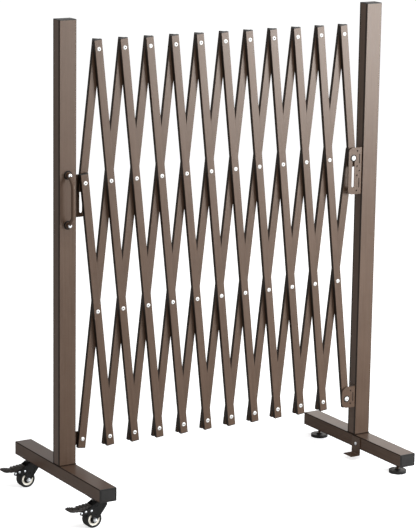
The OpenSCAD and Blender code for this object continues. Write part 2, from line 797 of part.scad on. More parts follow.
// The rivet of a bar in a bracket of the fixed stand: a sliding one with a bush, or a plain one
module fixed_side_rivet(sliding) {
    washer = 1;
    slack = sliding ? bush_clear : 0;
    front = -plate_out - slack - washer;
    rivet(front, sliding ? bar_out : -bar_in, big_head_r);
    ring_y(big_head_r + 3, rivet_r, front, front + washer);
    ring_y(spacer_r, rivet_r, -plate_in + slack, -bar_out);
    if (sliding) {
        ring_y(slot_w / 2 - bush_clear, rivet_r, front + washer, -plate_in + bush_clear);
        ring_y(rivet_head_r, rivet_r, -bar_in, bar_in);
    }
}

// The rivet that slides in the mobile stand's slotted bracket, behind the lattice
module mobile_side_rivet() {
    rear = plate_out + bush_clear + 1;
    rivet(-bar_out, rear);
    ring_y(rivet_head_r, rivet_r, -bar_in, bar_in);
    ring_y(spacer_r, rivet_r, bar_out, plate_in - bush_clear);
    ring_y(slot_w / 2 - bush_clear, rivet_r, plate_in - bush_clear, rear - 1);
    ring_y(spacer_r + 1, rivet_r, rear - 1, rear);
}

mobile_post();
mobile_base();
mobile_caps();
mobile_brackets();
mobile_screws();
pull_handle();
caster_plates();
front_caster_fork();
front_caster_pins();
front_caster_wheel();
front_brake_pedal();
rear_caster_fork();
rear_caster_pins();
rear_caster_wheel();
rear_brake_pedal();
fixed_post();
fixed_base();
fixed_caps();
fixed_brackets();
fixed_screws();
floor_bracket();
front_foot();
rear_foot();
for (i = [1:BARS]) {
    front_bar(i);
    rear_bar(i);
    rivets(i);
}
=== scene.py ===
"""Expandable barrier gate: a riveted scissor lattice between a rolling stand and a fixed stand.

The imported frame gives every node's place; the pieces made here dress it. Lengths are in
millimetres while a shape is worked out and become metres when its mesh is made. x runs along
the gate, y from its front to its rear, and z upwards.
"""
import math

import bmesh
import bpy
import numpy as np
from mathutils import Matrix, Vector


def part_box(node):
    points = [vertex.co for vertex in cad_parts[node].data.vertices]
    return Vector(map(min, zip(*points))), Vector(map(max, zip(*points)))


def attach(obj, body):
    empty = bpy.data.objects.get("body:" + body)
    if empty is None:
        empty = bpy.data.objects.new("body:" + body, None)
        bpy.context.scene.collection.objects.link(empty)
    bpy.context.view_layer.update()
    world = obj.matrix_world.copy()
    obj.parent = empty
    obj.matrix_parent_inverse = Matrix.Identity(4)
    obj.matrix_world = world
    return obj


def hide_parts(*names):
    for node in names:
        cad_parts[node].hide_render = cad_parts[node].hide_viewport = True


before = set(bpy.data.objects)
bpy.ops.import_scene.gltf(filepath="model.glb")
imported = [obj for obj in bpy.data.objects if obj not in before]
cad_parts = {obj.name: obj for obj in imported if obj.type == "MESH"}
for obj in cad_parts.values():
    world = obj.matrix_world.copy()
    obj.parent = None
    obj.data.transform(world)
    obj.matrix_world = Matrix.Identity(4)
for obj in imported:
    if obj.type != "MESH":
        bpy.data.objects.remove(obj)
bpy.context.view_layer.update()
MM = 0.001

# Lattice, as in the part's source
BARS = 12            # bars in each layer
SEG = 425.0          # between two rivets of a bar
PITCH = 93.0         # between two rivets of a row
LOW_ROW = 213.0      # height of the lowest row
BAR_W = 27.5
BAR_T = 13.5
BAR_R = 1.2          # corners of a bar
BAR_WALL = 1.2
BAR_END = 31.0       # from the last rivet to the end of the plug
PLUG_T = 2.5
PLUG_LEN = 10.0
LAYER = 0.4          # from the middle plane to each layer
OUT = LAYER + BAR_T  # from the middle plane to a layer's outer face
LEAN = math.asin(PITCH / 2 / SEG)
RISE = SEG * math.cos(LEAN)
LAST = 2 * (BARS - 1)
REACH = 37.0         # from a post's face to its pivots

# Stands, as in the part's source
TUBE_W = 60.0
TUBE_D = 44.0
TUBE_R = 2.0
TUBE_WALL = 2.0
CAP_T = 3.0
PLATE_T = 2.5
PLATE_OUT = TUBE_D / 2 - 2.0
PLATE_IN = PLATE_OUT - PLATE_T
BASE_Z = {"mobile": 96.0, "fixed": 35.0}

SHARP = math.radians(38)  # edges with more of a bend stay hard


def box_mm(node):
    """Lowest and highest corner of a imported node, in millimetres."""
    low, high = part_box(node)
    return np.array(low) / MM, np.array(high) / MM


MOBILE_X = float(sum(b[0] for b in box_mm("mobile_post")) / 2)
FIXED_X = float(sum(b[0] for b in box_mm("fixed_post")) / 2)
LATTICE_X = MOBILE_X + TUBE_W / 2 + REACH


def pivot_x(u):
    """Place along the gate of the pivot u half pitches from the mobile stand's."""
    return LATTICE_X + u * PITCH / 2


def row_z(row):
    """Height of a row of rivets, 1 at the top to 4."""
    return LOW_ROW + (4 - row) * RISE


# Shader sums

MIX_LOW, MIX_HIGH, MIX_RESULT = 6, 7, 2  # colour sockets of a Mix node, which share their names


class Wire:
    """One socket in a material's sum. Operators add Math nodes, and put() adds any other node."""

    def __init__(self, tree, socket=None):
        self.tree = tree
        self.socket = socket

    def put(self, kind, settings=None, sockets=None, out=0):
        """Adds a node: its settings first, then the values or links of its sockets."""
        node = self.tree.nodes.new(kind)
        for name, value in (settings or {}).items():
            setattr(node, name, value)
        for name, value in (sockets or {}).items():
            if isinstance(value, Wire):
                self.tree.links.new(value.socket, node.inputs[name])
            else:
                node.inputs[name].default_value = value
        return Wire(self.tree, node.outputs[out])

    def math(self, operation, *values):
        """A Math node on the values."""
        return self.put("ShaderNodeMath", {"operation": operation}, dict(enumerate(values)))

    def __add__(self, other):
        return self.math("ADD", self, other)

    def __radd__(self, other):
        return self.math("ADD", other, self)

    def __sub__(self, other):
        return self.math("SUBTRACT", self, other)

    def __rsub__(self, other):
        return self.math("SUBTRACT", other, self)

    def __mul__(self, other):
        return self.math("MULTIPLY", self, other)

    def __rmul__(self, other):
        return self.math("MULTIPLY", other, self)

    def __abs__(self):
        return self.math("ABSOLUTE", self)

    def __gt__(self, other):
        return self.math("GREATER_THAN", self, other)

    def axis(self, name, kind="Object"):
        """One coordinate of the place, or for kind Normal of the surface's direction."""
        vector = self.put("ShaderNodeTexCoord", out=kind)
        return self.put("ShaderNodeSeparateXYZ", None, {"Vector": vector}, out=name)

    def noise(self, scale, detail=3.0, rough=0.5, stretch=None, lean=0.0):
        """Noise from 0 to 1 on the object's own coordinates, scale in grains per metre.

        stretch scales the three axes and draws the grains out; lean turns them about y first.
        """
        place = self.put("ShaderNodeTexCoord", out="Object")
        if lean:
            place = self.put("ShaderNodeMapping", None, {
                "Vector": place, "Rotation": (0.0, lean, 0.0)})
        if stretch:
            place = self.put("ShaderNodeMapping", None, {"Vector": place, "Scale": stretch})
        return self.put("ShaderNodeTexNoise", None, {
            "Vector": place, "Scale": scale, "Detail": detail, "Roughness": rough}, out="Fac")

    def between(self, amount, low, high):
        """The colour between low and high, fixed or varying, that amount picks."""
        low, high = (c if isinstance(c, Wire) else (*c, 1.0) for c in (low, high))
        return self.put("ShaderNodeMix", {"data_type": "RGBA"}, {
            "Factor": amount, MIX_LOW: low, MIX_HIGH: high}, out=MIX_RESULT)

    def bump(self, height, depth):
        """A normal from a height of 0 to 1 that stands for depth metres."""
        return self.put("ShaderNodeBump", None, {"Height": height, "Distance": depth})


def finish(name, make, preview=(0.5, 0.5, 0.5), **constants):
    """A material: make gets an empty Wire and returns what varies on its Principled shader.

    preview is the plain colour of quick views; constants are set on the shader's own sockets.
    """
    material = bpy.data.materials.new(name)
    material.use_nodes = True
    material.diffuse_color = (*preview, 1.0)
    tree = material.node_tree
    shader = tree.nodes["Principled BSDF"]
    for socket, value in constants.items():
        shader.inputs[socket.replace("_", " ")].default_value = value
    for socket, value in make(Wire(tree)).items():
        if isinstance(value, Wire):
            tree.links.new(value.socket, shader.inputs[socket])
        else:
            shader.inputs[socket].default_value = value
    return material


def stand_offset(w):
    """Distance sideways from the middle plane of the nearer stand."""
    middle, half = (MOBILE_X + FIXED_X) / 2 * MM, (FIXED_X - MOBILE_X) / 2 * MM
    return abs(abs(w.axis("X") - middle) - half)


def ramp(value, low, high):
    """0 below low, 1 above high, both in millimetres, and even between."""
    share = (value * (1 / MM) - low) * (1 / (high - low))
    return share.math("MINIMUM", share.math("MAXIMUM", share, 0.0), 1.0)


def post_corner_shade(w):
    """Up to 1 along the posts' upright corners, mostly on their narrow sides: painted shade, the
    coat darkened there.
    """
    across = ramp(stand_offset(w), TUBE_W / 2 - 2.6, TUBE_W / 2 - 1.0)
    return across * ramp(abs(w.axis("Y")), TUBE_D / 2 - 9.5, TUBE_D / 2 - 5.5)


def base_corner_shade(w):
    """1 in narrow bands along the long corners of the base tubes: painted shade, the coat darkened
    there.
    """
    height = w.axis("Z")
    from_middle = [abs(height - (z + TUBE_D / 2) * MM) for z in BASE_Z.values()]
    rise = w.math("MINIMUM", *from_middle)
    across = ramp(stand_offset(w), TUBE_W / 2 - 2.4, TUBE_W / 2 - 1.0)
    return across * ramp(rise, TUBE_D / 2 - 4.0, TUBE_D / 2 - 2.0)


def narrow_side_shade(w):
    """1 on the narrow sides of a bar, which face along the gate: painted shade, the coat darkened
    there as if in shadow.
    """
    return abs(w.axis("X", "Normal")) > 0.6


def weld_bead_shade(w):
    """Nearly 1 everywhere and a little uneven: painted shade over the whole weld bead, for the
    shadow where a post meets its base.
    """
    return 0.8 + w.noise(400.0) * 0.3


def powder(along=(1.0, 1.0, 0.03), lean=0.0, painted_shade=None):
    """Bronze powder coat: orange peel, clouds of tone, paler grains and faint draw lines.

    The lines run on the axis that along draws out, turned by lean; the last argument masks painted
    shade, the coat darkened nearly to black.
    """
    def make(w):
        peel = w.noise(950.0, 2.0)
        clouds = w.noise(9.0, 4.0, 0.6)
        grain = w.noise(2600.0, 1.0)
        lines = w.noise(170.0, 3.0, 0.7, stretch=along, lean=lean)
        tone = clouds * 0.3 + grain * 0.2 + lines * 0.5
        colour = w.between(tone, (0.030, 0.014, 0.006), (0.104, 0.064, 0.044))
        rough = 0.25 + clouds * 0.08 + grain * 0.05 + lines * 0.06
        # Painted shade: where the mask is, the colour is darkened nearly to black and roughened.
        if painted_shade:
            mask = painted_shade(w)
            colour = w.between(mask * 0.92, colour, (0.004, 0.002, 0.001))
            rough = rough + mask * 0.35
        return {"Base Color": colour, "Roughness": rough,
                "Normal": w.bump(peel * 0.5 + grain * 0.2 + lines * 0.3, 0.00006)}
    return make


def moulded_black(w):
    """Moulded black plastic: a fine spark-eroded grain and a little sheen."""
    grain = w.noise(1500.0, 2.0)
    patch = w.noise(30.0, 3.0)
    return {
        "Base Color": w.between(patch, (0.012, 0.011, 0.010), (0.022, 0.020, 0.019)),
        "Roughness": 0.38 + grain * 0.16,
        "Normal": w.bump(grain, 0.00004),
    }


def bright_aluminium(w):
    """Pressed aluminium: short turning marks and small dents."""
    marks = w.noise(900.0, 3.0)
    dull = w.noise(160.0, 3.0)
    return {
        "Base Color": w.between(dull, (0.50, 0.49, 0.48), (0.74, 0.73, 0.71)),
        "Roughness": 0.50 + marks * 0.14,
        "Normal": w.bump(marks, 0.00003),
    }


def zinc_plate(w):
    """Zinc plated steel: a bluish bright grey, clouded."""
    cloud = w.noise(240.0, 3.0)
    return {
        "Base Color": w.between(cloud, (0.50, 0.51, 0.53), (0.74, 0.75, 0.76)),
        "Roughness": 0.24 + cloud * 0.2,
        "Normal": w.bump(cloud, 0.00002),
    }


def dark_steel(w):
    """Broken end of a rivet's mandrel: dull grey steel."""
    crumble = w.noise(1900.0, 3.0)
    return {
        "Base Color": w.between(crumble, (0.020, 0.016, 0.013), (0.075, 0.062, 0.052)),
        "Roughness": 0.5 + crumble * 0.25,
        "Normal": w.bump(crumble, 0.0001),
    }


def brown_zinc(w):
    """Brown passivated zinc on the feet's studs and nuts."""
    cloud = w.noise(300.0, 3.0)
    return {
        "Base Color": w.between(cloud, (0.055, 0.034, 0.022), (0.19, 0.135, 0.10)),
        "Roughness": 0.34 + cloud * 0.2,
        "Normal": w.bump(cloud, 0.00003),
    }


def gasket(w):
    """Matt black rubber sheet."""
    fine = w.noise(1400.0, 2.0)
    return {
        "Base Color": w.between(fine, (0.003, 0.003, 0.003), (0.009, 0.009, 0.009)),
        "Roughness": 0.6 + fine * 0.2,
        "Normal": w.bump(fine, 0.00004),
    }


def satin_black(w):
    """Black enamel on pressed steel: smooth with faint waves."""
    wave = w.noise(60.0, 2.0)
    fine = w.noise(1800.0, 1.0)
    return {
        "Base Color": w.between(wave, (0.005, 0.005, 0.005), (0.013, 0.012, 0.011)),
        "Roughness": 0.22 + wave * 0.12,
        "Normal": w.bump(wave * 0.8 + fine * 0.2, 0.00008),
    }


def pedal_plastic(w):
    """Black nylon, greyed where a shoe rubs it."""
    grain = w.noise(1300.0, 3.0)
    rub = w.noise(70.0, 3.0, 0.6)
    return {
        "Base Color": w.between(rub, (0.012, 0.010, 0.009), (0.044, 0.036, 0.031)),
        "Roughness": 0.34 + grain * 0.2,
        "Normal": w.bump(grain, 0.00005),
    }


def tyre_rubber(w):
    """Dark rubber with fine moulding grain and dusty patches."""
    grain = w.noise(1700.0, 2.0)
    dust = w.noise(45.0, 4.0, 0.6)
    return {
        "Base Color": w.between(dust, (0.008, 0.008, 0.007), (0.022, 0.021, 0.020)),
        "Roughness": 0.5 + grain * 0.2,
        "Normal": w.bump(grain, 0.00004),
    }


def cream_plastic(w):
    """Cream nylon wheel centre, slightly cloudy."""
    cloud = w.noise(90.0, 3.0)
    return {
        "Base Color": w.between(cloud, (0.68, 0.62, 0.52), (0.80, 0.75, 0.66)),
        "Roughness": 0.36 + cloud * 0.12,
        "Normal": w.bump(cloud, 0.00003),
    }


COAT = {"preview": (0.075, 0.048, 0.036), "Specular_IOR_Level": 0.27,
        "Specular_Tint": (1.0, 0.90, 0.82, 1.0)}
DULL = dict(COAT, Specular_IOR_Level=0.15)
FOLD = dict(COAT, Specular_IOR_Level=0.05)
BRONZE = finish("bronze_powder_coat", powder(), **COAT)
# The posts' coat carries painted shade along their upright corners.
POST_BRONZE = finish("bronze_on_posts_with_painted_shade", powder(painted_shade=post_corner_shade), **COAT)
# The base tubes' coat carries painted shade along their long corners.
BASE_BRONZE = finish("bronze_on_base_tubes_with_painted_shade", powder((1.0, 0.03, 1.0), painted_shade=base_corner_shade), **DULL)
# The weld beads' coat is darkened all over: painted shade where each post meets its base.
SHADED_SEAM_BRONZE = finish("bronze_with_painted_seam_shade", powder(painted_shade=weld_bead_shade), **FOLD)
# The bars' coat carries painted shade on their narrow sides.
BAR_BRONZE = {
    "front": finish("bronze_on_front_bars_with_painted_shade", powder(lean=LEAN, painted_shade=narrow_side_shade), **COAT),
    "rear": finish("bronze_on_rear_bars_with_painted_shade", powder(lean=-LEAN, painted_shade=narrow_side_shade), **COAT)}
PLASTIC = finish("moulded_black_plastic", moulded_black, (0.018, 0.017, 0.016),
                 Specular_IOR_Level=0.18)
ALUMINIUM = finish("pressed_aluminium", bright_aluminium, (0.85, 0.85, 0.85), Metallic=1.0)
MANDREL = finish("broken_mandrel_steel", dark_steel, (0.05, 0.04, 0.035), Specular_IOR_Level=0.2)
BROWN_ZINC = finish("brown_zinc_steel", brown_zinc, (0.12, 0.085, 0.06), Metallic=1.0)
GASKET = finish("matt_black_gasket", gasket, (0.006, 0.006, 0.006), Specular_IOR_Level=0.12)
ZINC = finish("zinc_plated_steel", zinc_plate, (0.6, 0.6, 0.6), Metallic=1.0)
SATIN_BLACK = finish("satin_black_steel", satin_black, (0.02, 0.02, 0.02), Specular_IOR_Level=0.16)
PEDAL = finish("ribbed_pedal_plastic", pedal_plastic, (0.03, 0.027, 0.026), Specular_IOR_Level=0.2)
RUBBER = finish("tyre_rubber", tyre_rubber, (0.02, 0.02, 0.02), Specular_IOR_Level=0.13)
CREAM = finish("cream_wheel_centre", cream_plastic, (0.75, 0.62, 0.46))

# The posts and base tubes show as packed
SHOWN = {"mobile_post": POST_BRONZE, "fixed_post": POST_BRONZE,
         "mobile_base": BASE_BRONZE, "fixed_base": BASE_BRONZE}
for shown_node, shown_material in SHOWN.items():
    shown_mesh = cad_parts[shown_node].data
    shown_mesh.materials.clear()
    shown_mesh.materials.append(shown_material)


# Shapes. A shape is (points, quads, lids): an array of points, an array of four-sided faces, and
# the flat faces of more sides that close its ends. All faces turn outwards.


def skin(rings, loop=False):
    """Joins each ring of points to the next one up; flat lids close the ends.

    loop joins the last ring to the first instead. Rings run counter-clockwise seen from the end
    that the stack grows towards.
    """
    rings = np.asarray(rings, float)
    index = np.arange(rings.shape[0] * rings.shape[1]).reshape(rings.shape[:2])
    after = np.roll(index, -1, 1)
    upper, upper_after = np.roll(index, -1, 0), np.roll(after, -1, 0)
    quads = np.stack([index, after, upper_after, upper], -1)
    if loop:
        return rings.reshape(-1, 3), quads.reshape(-1, 4), []
    return rings.reshape(-1, 3), quads[:-1].reshape(-1, 4), [index[0][::-1], index[-1]]


def outline(width, depth, radius, steps=4):
    """A rectangle with corner arcs of one radius, counter-clockwise, as (x, y) points."""
    arc = np.linspace(0, math.pi / 2, steps + 1)
    angle = np.concatenate([arc + k * math.pi / 2 for k in range(4)])
    side_x = np.repeat([1, -1, -1, 1], steps + 1) * (width / 2 - radius)
    side_y = np.repeat([1, 1, -1, -1], steps + 1) * (depth / 2 - radius)
    return np.column_stack([side_x + radius * np.cos(angle), side_y + radius * np.sin(angle)])


def circle(radius, around=48):
    """A circle of points, counter-clockwise."""
    angle = np.arange(around) * 2 * math.pi / around
    return np.column_stack([radius * np.cos(angle), radius * np.sin(angle)])


def level(flat, height):
    """A flat ring of (x, y) points lifted to a height."""
    return np.column_stack([flat, np.full(len(flat), float(height))])


def lathe(profile, around=48, loop=False):
    """Turns a profile of (radius, height) points about z: a circle at each point, joined up."""
    return skin([level(circle(r, around), z) for r, z in profile], loop)


def bow(from_point, to_point, bulge, steps=6):
    """Points of an arc between two (radius, height) points: the chord plus a parabola square to it.

    A positive bulge lies to the right of its way.
    """
    a, b = np.array(from_point, float), np.array(to_point, float)
    t = np.linspace(0, 1, steps + 1)[:, None]
    way = b - a
    square = np.array([way[1], -way[0]]) / np.hypot(*way)
    return [tuple(p) for p in a + way * t + 4 * t * (1 - t) * bulge * square]


def quarter(centre, radius, start, end, steps=5):
    """Points of an arc in the (radius, height) plane from one angle to another, in degrees."""
    a = np.radians(np.linspace(start, end, steps + 1))
    return [(centre[0] + radius * math.cos(k), centre[1] + radius * math.sin(k)) for k in a]


def sweep(path, radius, across, around=24):
    """A round rod along a path in a plane: circles square to the path, one axis being across.

    Each ring is the path's point plus radius times (cosine across, sine along the third axis).
    """
    path = np.asarray(path, float)
    ahead = np.gradient(path, axis=0)
    ahead /= np.linalg.norm(ahead, axis=1)[:, None]
    across = np.asarray(across, float)
    other = np.cross(ahead, across)
    ring = circle(1.0, around)
    radii = np.broadcast_to(radius, len(path))[:, None, None]
    section = ring[None, :, :1] * across + ring[None, :, 1:] * other[:, None]
    return skin(path[:, None] + radii * section)


def turn(axis, degrees):
    """Rotation matrix about x, y or z (axis 0, 1 or 2)."""
    c, s = math.cos(math.radians(degrees)), math.sin(math.radians(degrees))
    first, second = (axis + 1) % 3, (axis + 2) % 3
    m = np.eye(3)
    m[first, first] = m[second, second] = c
    m[first, second], m[second, first] = -s, s
    return m


def put(shape, at, *turns):
    """A shape turned by each (axis, degrees) in order, then moved."""
    points = shape[0]
    for axis, degrees in turns:
        points = points @ turn(axis, degrees).T
    return points + np.asarray(at, float), shape[1], shape[2]


TO_FRONT = (0, 90)
TO_REAR = (0, -90)


def piece(name, shapes, material, body, replaces=(), even=False):
    """One object from several shapes in millimetres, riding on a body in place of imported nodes.

    even keeps large flats flat: each corner's normal is weighted by the faces' areas.
    """
    points, quads, lids, start = [], [], [], 0
    for shape_points, shape_quads, shape_lids in shapes:
        points.append(shape_points)
        quads.append(shape_quads + start)
        lids += [(lid + start).tolist() for lid in shape_lids]
        start += len(shape_points)
    mesh = bpy.data.meshes.new(name)
    faces = np.concatenate(quads).tolist() + lids
    mesh.from_pydata((np.concatenate(points) * MM).tolist(), [], faces)
    mesh.shade_smooth()
    mesh.set_sharp_from_angle(angle=SHARP)
    return dress(bpy.data.objects.new(name, mesh), material, body, replaces, even)


def dress(thing, material, body, replaces=(), even=False):
    """Gives an object its material, its body and the nodes that it stands for."""
    thing.data.materials.clear()
    thing.data.materials.append(material)
    bpy.context.scene.collection.objects.link(thing)
    if even:
        normals = thing.modifiers.new("even_normals", "WEIGHTED_NORMAL")
        normals.keep_sharp = True
    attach(thing, body)
    if replaces:
        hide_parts(*replaces)
    return thing


def softened(name, node, width, material, body, segments=2):
    """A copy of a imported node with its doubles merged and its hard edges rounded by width."""
    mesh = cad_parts[node].data.copy()
    work = bmesh.new()
    work.from_mesh(mesh)
    bmesh.ops.remove_doubles(work, verts=work.verts, dist=0.02 * MM)
    bmesh.ops.dissolve_limit(work, angle_limit=math.radians(1.0), verts=work.verts,
                             edges=work.edges)
    work.to_mesh(mesh)
    work.free()
    for old in [a.name for a in mesh.attributes if "normal" in a.name]:
        mesh.attributes.remove(mesh.attributes[old])
    mesh.shade_smooth()
    mesh.set_sharp_from_angle(angle=SHARP)
    thing = bpy.data.objects.new(name, mesh)
    bevel = thing.modifiers.new("soft_edges", "BEVEL")
    bevel.width = width * MM
    bevel.segments = segments
    bevel.limit_method = "ANGLE"
    bevel.angle_limit = math.radians(50)
    return dress(thing, material, body, [node], even=True)


# Lattice pieces

RIVET_R = 3.0      # shank
HEAD_R = 7.0
HEAD_H = 2.2
BIG_HEAD = 8.5     # head of a rivet through the fixed stand's bracket
MANDREL_R = 2.6    # hole that the mandrel leaves
TAIL_R = 5.6
SPACER = 8.0
RING_R = 11.5      # dark washer under a bracket rivet's head, its near black partly painted shade round the head
RING_T = 1.0
SLOT_BUSH = 4.8
BUSH_SLACK = 0.2   # play of the sliding bush between its washers
SLIDING_ROW = 2


def bar_tube(rows):
    """Upright rectangular tube between a bar's plugs: up its outside, over the rim, down inside."""
    low = -(BAR_END - PLUG_T)
    high = (rows - 1) * SEG + BAR_END - PLUG_T
    out = outline(BAR_W, BAR_T, BAR_R)
    bore = outline(BAR_W - 2 * BAR_WALL, BAR_T - 2 * BAR_WALL, 0.4)
    return skin([level(out, low), level(out, high), level(bore, high), level(bore, low)], loop=True)


def tube_plug(width, depth, radius, wall, flange, insert, soft, crown, groove=0.0):
    """A moulded plug: its insert, a flange the size of the tube, a rounded rim and a slight crown.

    The rim is a quarter turn of radius soft, the crown a parabola. groove is how far a fine groove
    lies inside the rim, round a panel; 0 leaves it out.
    """
    play = 0.6
    inner = outline(width - 2 * wall - play, depth - 2 * wall - play, 0.6)
    rings = [level(inner, -insert), level(inner, 0), level(outline(width, depth, radius), 0)]
    top = flange - crown

    def ring(inset, corner, height):
        """The tube's outline drawn in by inset."""
        rings.append(level(outline(width - 2 * inset, depth - 2 * inset, corner), height))

    for a in np.linspace(0, math.pi / 2, 6):
        inset = soft * (1 - math.cos(a))
        ring(inset, max(radius - inset / 2, 0.3), top - soft + soft * math.sin(a))
    for inset, sink in ((0.0, 0.0), (0.5, 1.3), (1.9, 1.3), (2.4, 0.0)) if groove else ():
        ring(groove + inset, 0.6, top - sink)
    panel = max(soft, groove + 2.5)
    room = depth / 2 - panel - 1.0
    for t in (0.25, 0.55, 1.0):
        ring(panel + room * t, 0.4, top + crown * (1 - (1 - t) ** 2))
    return skin(rings)


def rivet(front, rear, head=HEAD_R):
    """A blind rivet along y in one turned profile: mandrel hole, domed head, shank, rolled tail."""
    hole = front - HEAD_H
    dome = bow((head - 0.3, front - 0.5), (MANDREL_R + 0.5, hole), -0.55, 6)
    profile = [(MANDREL_R - 0.1, hole + 1.3), (MANDREL_R, hole + 0.35)] + dome[::-1]
    profile += [(head, front - 0.2), (head, front), (RIVET_R, front), (RIVET_R, rear)]
    profile += [(TAIL_R, rear)] + quarter((TAIL_R - 1.6, rear), 1.6, 0, 90, 4)
    profile += [(TAIL_R - 2.6, rear + 1.9), (0.6, rear + 2.1)]
    return put(lathe(profile, 32), (0, 0, 0), TO_REAR)


def stub(front):
    """The broken end of the mandrel in the hole of a rivet whose head is seated at front."""
    hole = front - HEAD_H
    profile = [(0.2, hole + 0.35), (1.6, hole + 0.4), (2.4, hole + 0.7), (2.48, hole + 1.25)]
    return put(lathe(profile, 16), (0, 0, 0), TO_REAR)


def washer(outer, front, rear):
    """A ring round a rivet's shank, from front to rear on y, with softened rims."""
    soft = min(0.25, (rear - front) / 3)
    profile = [(RIVET_R, front), (outer - soft, front), (outer, front + soft),
               (outer, rear - soft), (outer - soft, rear), (RIVET_R, rear)]
    return put(lathe(profile, 32, loop=True), (0, 0, 0), TO_REAR)


def front_u(i, row):
    """Half pitches from the first pivot to where front bar i crosses a row."""
    return 2 * i - 4 + row


def rear_u(i, row):
    """Half pitches from the first pivot to where rear bar i crosses a row."""
    return 2 * i - row


def fixed_front(row):
    """Seat of a rivet's head on the fixed stand's bracket, with its dark washer behind it."""
    return -PLATE_OUT - (BUSH_SLACK if row == SLIDING_ROW else 0.0) - RING_T


def link_rivet(u, row):
    """The shapes of one rivet of the lattice: plain, or through a stand's bracket at either end."""
    between = washer(HEAD_R, -LAYER, LAYER)
    if u == LAST:
        sliding = row == SLIDING_ROW
        plate = -PLATE_IN + (BUSH_SLACK if sliding else 0.0)
        front = fixed_front(row)
        shapes = [rivet(front, OUT if sliding else -LAYER, BIG_HEAD), washer(SPACER, plate, -OUT)]
        return shapes + ([washer(SLOT_BUSH, front + RING_T, plate), between] if sliding else [])
    if u == 0:
        plate, rear = PLATE_IN - BUSH_SLACK, PLATE_OUT + BUSH_SLACK + RING_T
        return [rivet(-OUT, rear), between, washer(SPACER, OUT, plate),
                washer(SLOT_BUSH, plate, rear - RING_T), washer(SPACER + 1.0, rear - RING_T, rear)]
    return [rivet(-OUT, OUT), between]


def add_bar(i, layer, first, last, place, lean):
    """Bar i of a layer from its first row to its last: the tube, leaning, and its two plugs."""
    rise = (last - first) * SEG
    at = (pivot_x(place(i, last)), (LAYER + BAR_T / 2) * lean, row_z(last))
    slant = (1, lean * math.degrees(LEAN))
    node, body = f"{layer}_bar_{i:02d}", f"{layer}_link_{i:02d}"
    piece(f"{node}_tube", [put(bar_tube(last - first + 1), at, slant)], BAR_BRONZE[layer],
          body, [node], even=True)
    plug = tube_plug(BAR_W, BAR_T, BAR_R, BAR_WALL, PLUG_T, PLUG_LEN, soft=0.8, crown=0.3)
    seat = BAR_END - PLUG_T
    ends = [put(put(plug, (0, 0, rise + seat)), at, slant),
            put(put(plug, (0, 0, -seat), (0, 180)), at, slant)]
    piece(f"{node}_plugs", ends, PLASTIC, body, [node], even=True)


def add_rivets(i, first, last):
    """The rivets that front bar i carries, their mandrels' ends, and the washers on a bracket."""
    rivets, stubs, rings = [], [], []
    for row in range(first, last + 1):
        u = front_u(i, row)
        at = (pivot_x(u), 0, row_z(row))
        seat = fixed_front(row) if u == LAST else -OUT
        rivets += [put(shape, at) for shape in link_rivet(u, row)]
        stubs.append(put(stub(seat), at))
        if u == LAST:
            rings.append(put(washer(RING_R, seat, seat + RING_T), at))
    body, node = f"front_link_{i:02d}", [f"rivets_{i:02d}"]
    piece(f"rivet_set_{i:02d}", rivets, ALUMINIUM, body, node)
    piece(f"mandrel_stubs_{i:02d}", stubs, MANDREL, body, node)
    if rings:
        # Near-black washers: their black is partly painted shade, the dark ring round each bracket
        # rivet's head.
        piece(f"bracket_washers_{i:02d}", rings, GASKET, body, node)


def add_lattice():
    """Both layers of bars and all their rivets; the first and last bars of a layer are short."""
    for i in range(1, BARS + 1):
        first, last = 2 if i == 1 else 1, 2 if i == BARS else 4
        add_bar(i, "front", first, last, front_u, -1)
        add_rivets(i, first, last)
        add_bar(i, "rear", 2 if i == BARS else 1, 2 if i == 1 else 4, rear_u, 1)


# Stand pieces

CAP_PLUG = 15.0      # a cap's insert
GATE_H = 1580.0
BASE_HALF = 292.0    # half of a base tube, without its caps
STAND_X = {"mobile": MOBILE_X, "fixed": FIXED_X}
FOOT_INSET = 56.0    # from a base's end to its foot
CASTER_INSET = 64.0  # from a base's end to its swivel
FOOT_Y = BASE_HALF + CAP_T - FOOT_INSET
CASTER_Y = BASE_HALF + CAP_T - CASTER_INSET
SLIDE_REST = 44.5    # from a slot's middle up to its rivet
SLOT_MID = row_z(SLIDING_ROW) - SLIDE_REST
BRACKET_SCREWS = ([SLOT_MID + dz for dz in (-55.2, 0.0, 55.2)]
                  + [row_z(4) + dz for dz in (-13.8, 13.8)])
SCREW_R = 2.5
HANDLE_Z = 1011.0
HANDLE_HALF = 80.0   # from the handle's middle to its screws
HANDLE_REACH = 40.0  # from the post to the grip's front
HANDLE_FOOT = 15.0
HANDLE_FOOT_R = 8.5
GRIP_HALF = 52.0
GRIP_R = 6.0
GRIP_Y = -TUBE_D / 2 - HANDLE_REACH + GRIP_R
FLOOR_T = 3.0
FLOOR_SCREW = (FIXED_X - TUBE_W / 2 - FLOOR_T, -34.0, 51.0)
PLATE_SCREW_Z = 93.0
PLATE_SCREWS = [(dx, dy) for dx in (-20.0, 20.0) for dy in (-20.0, 20.0)]
NUT_Z = 28.0
STUD_R = 5.0


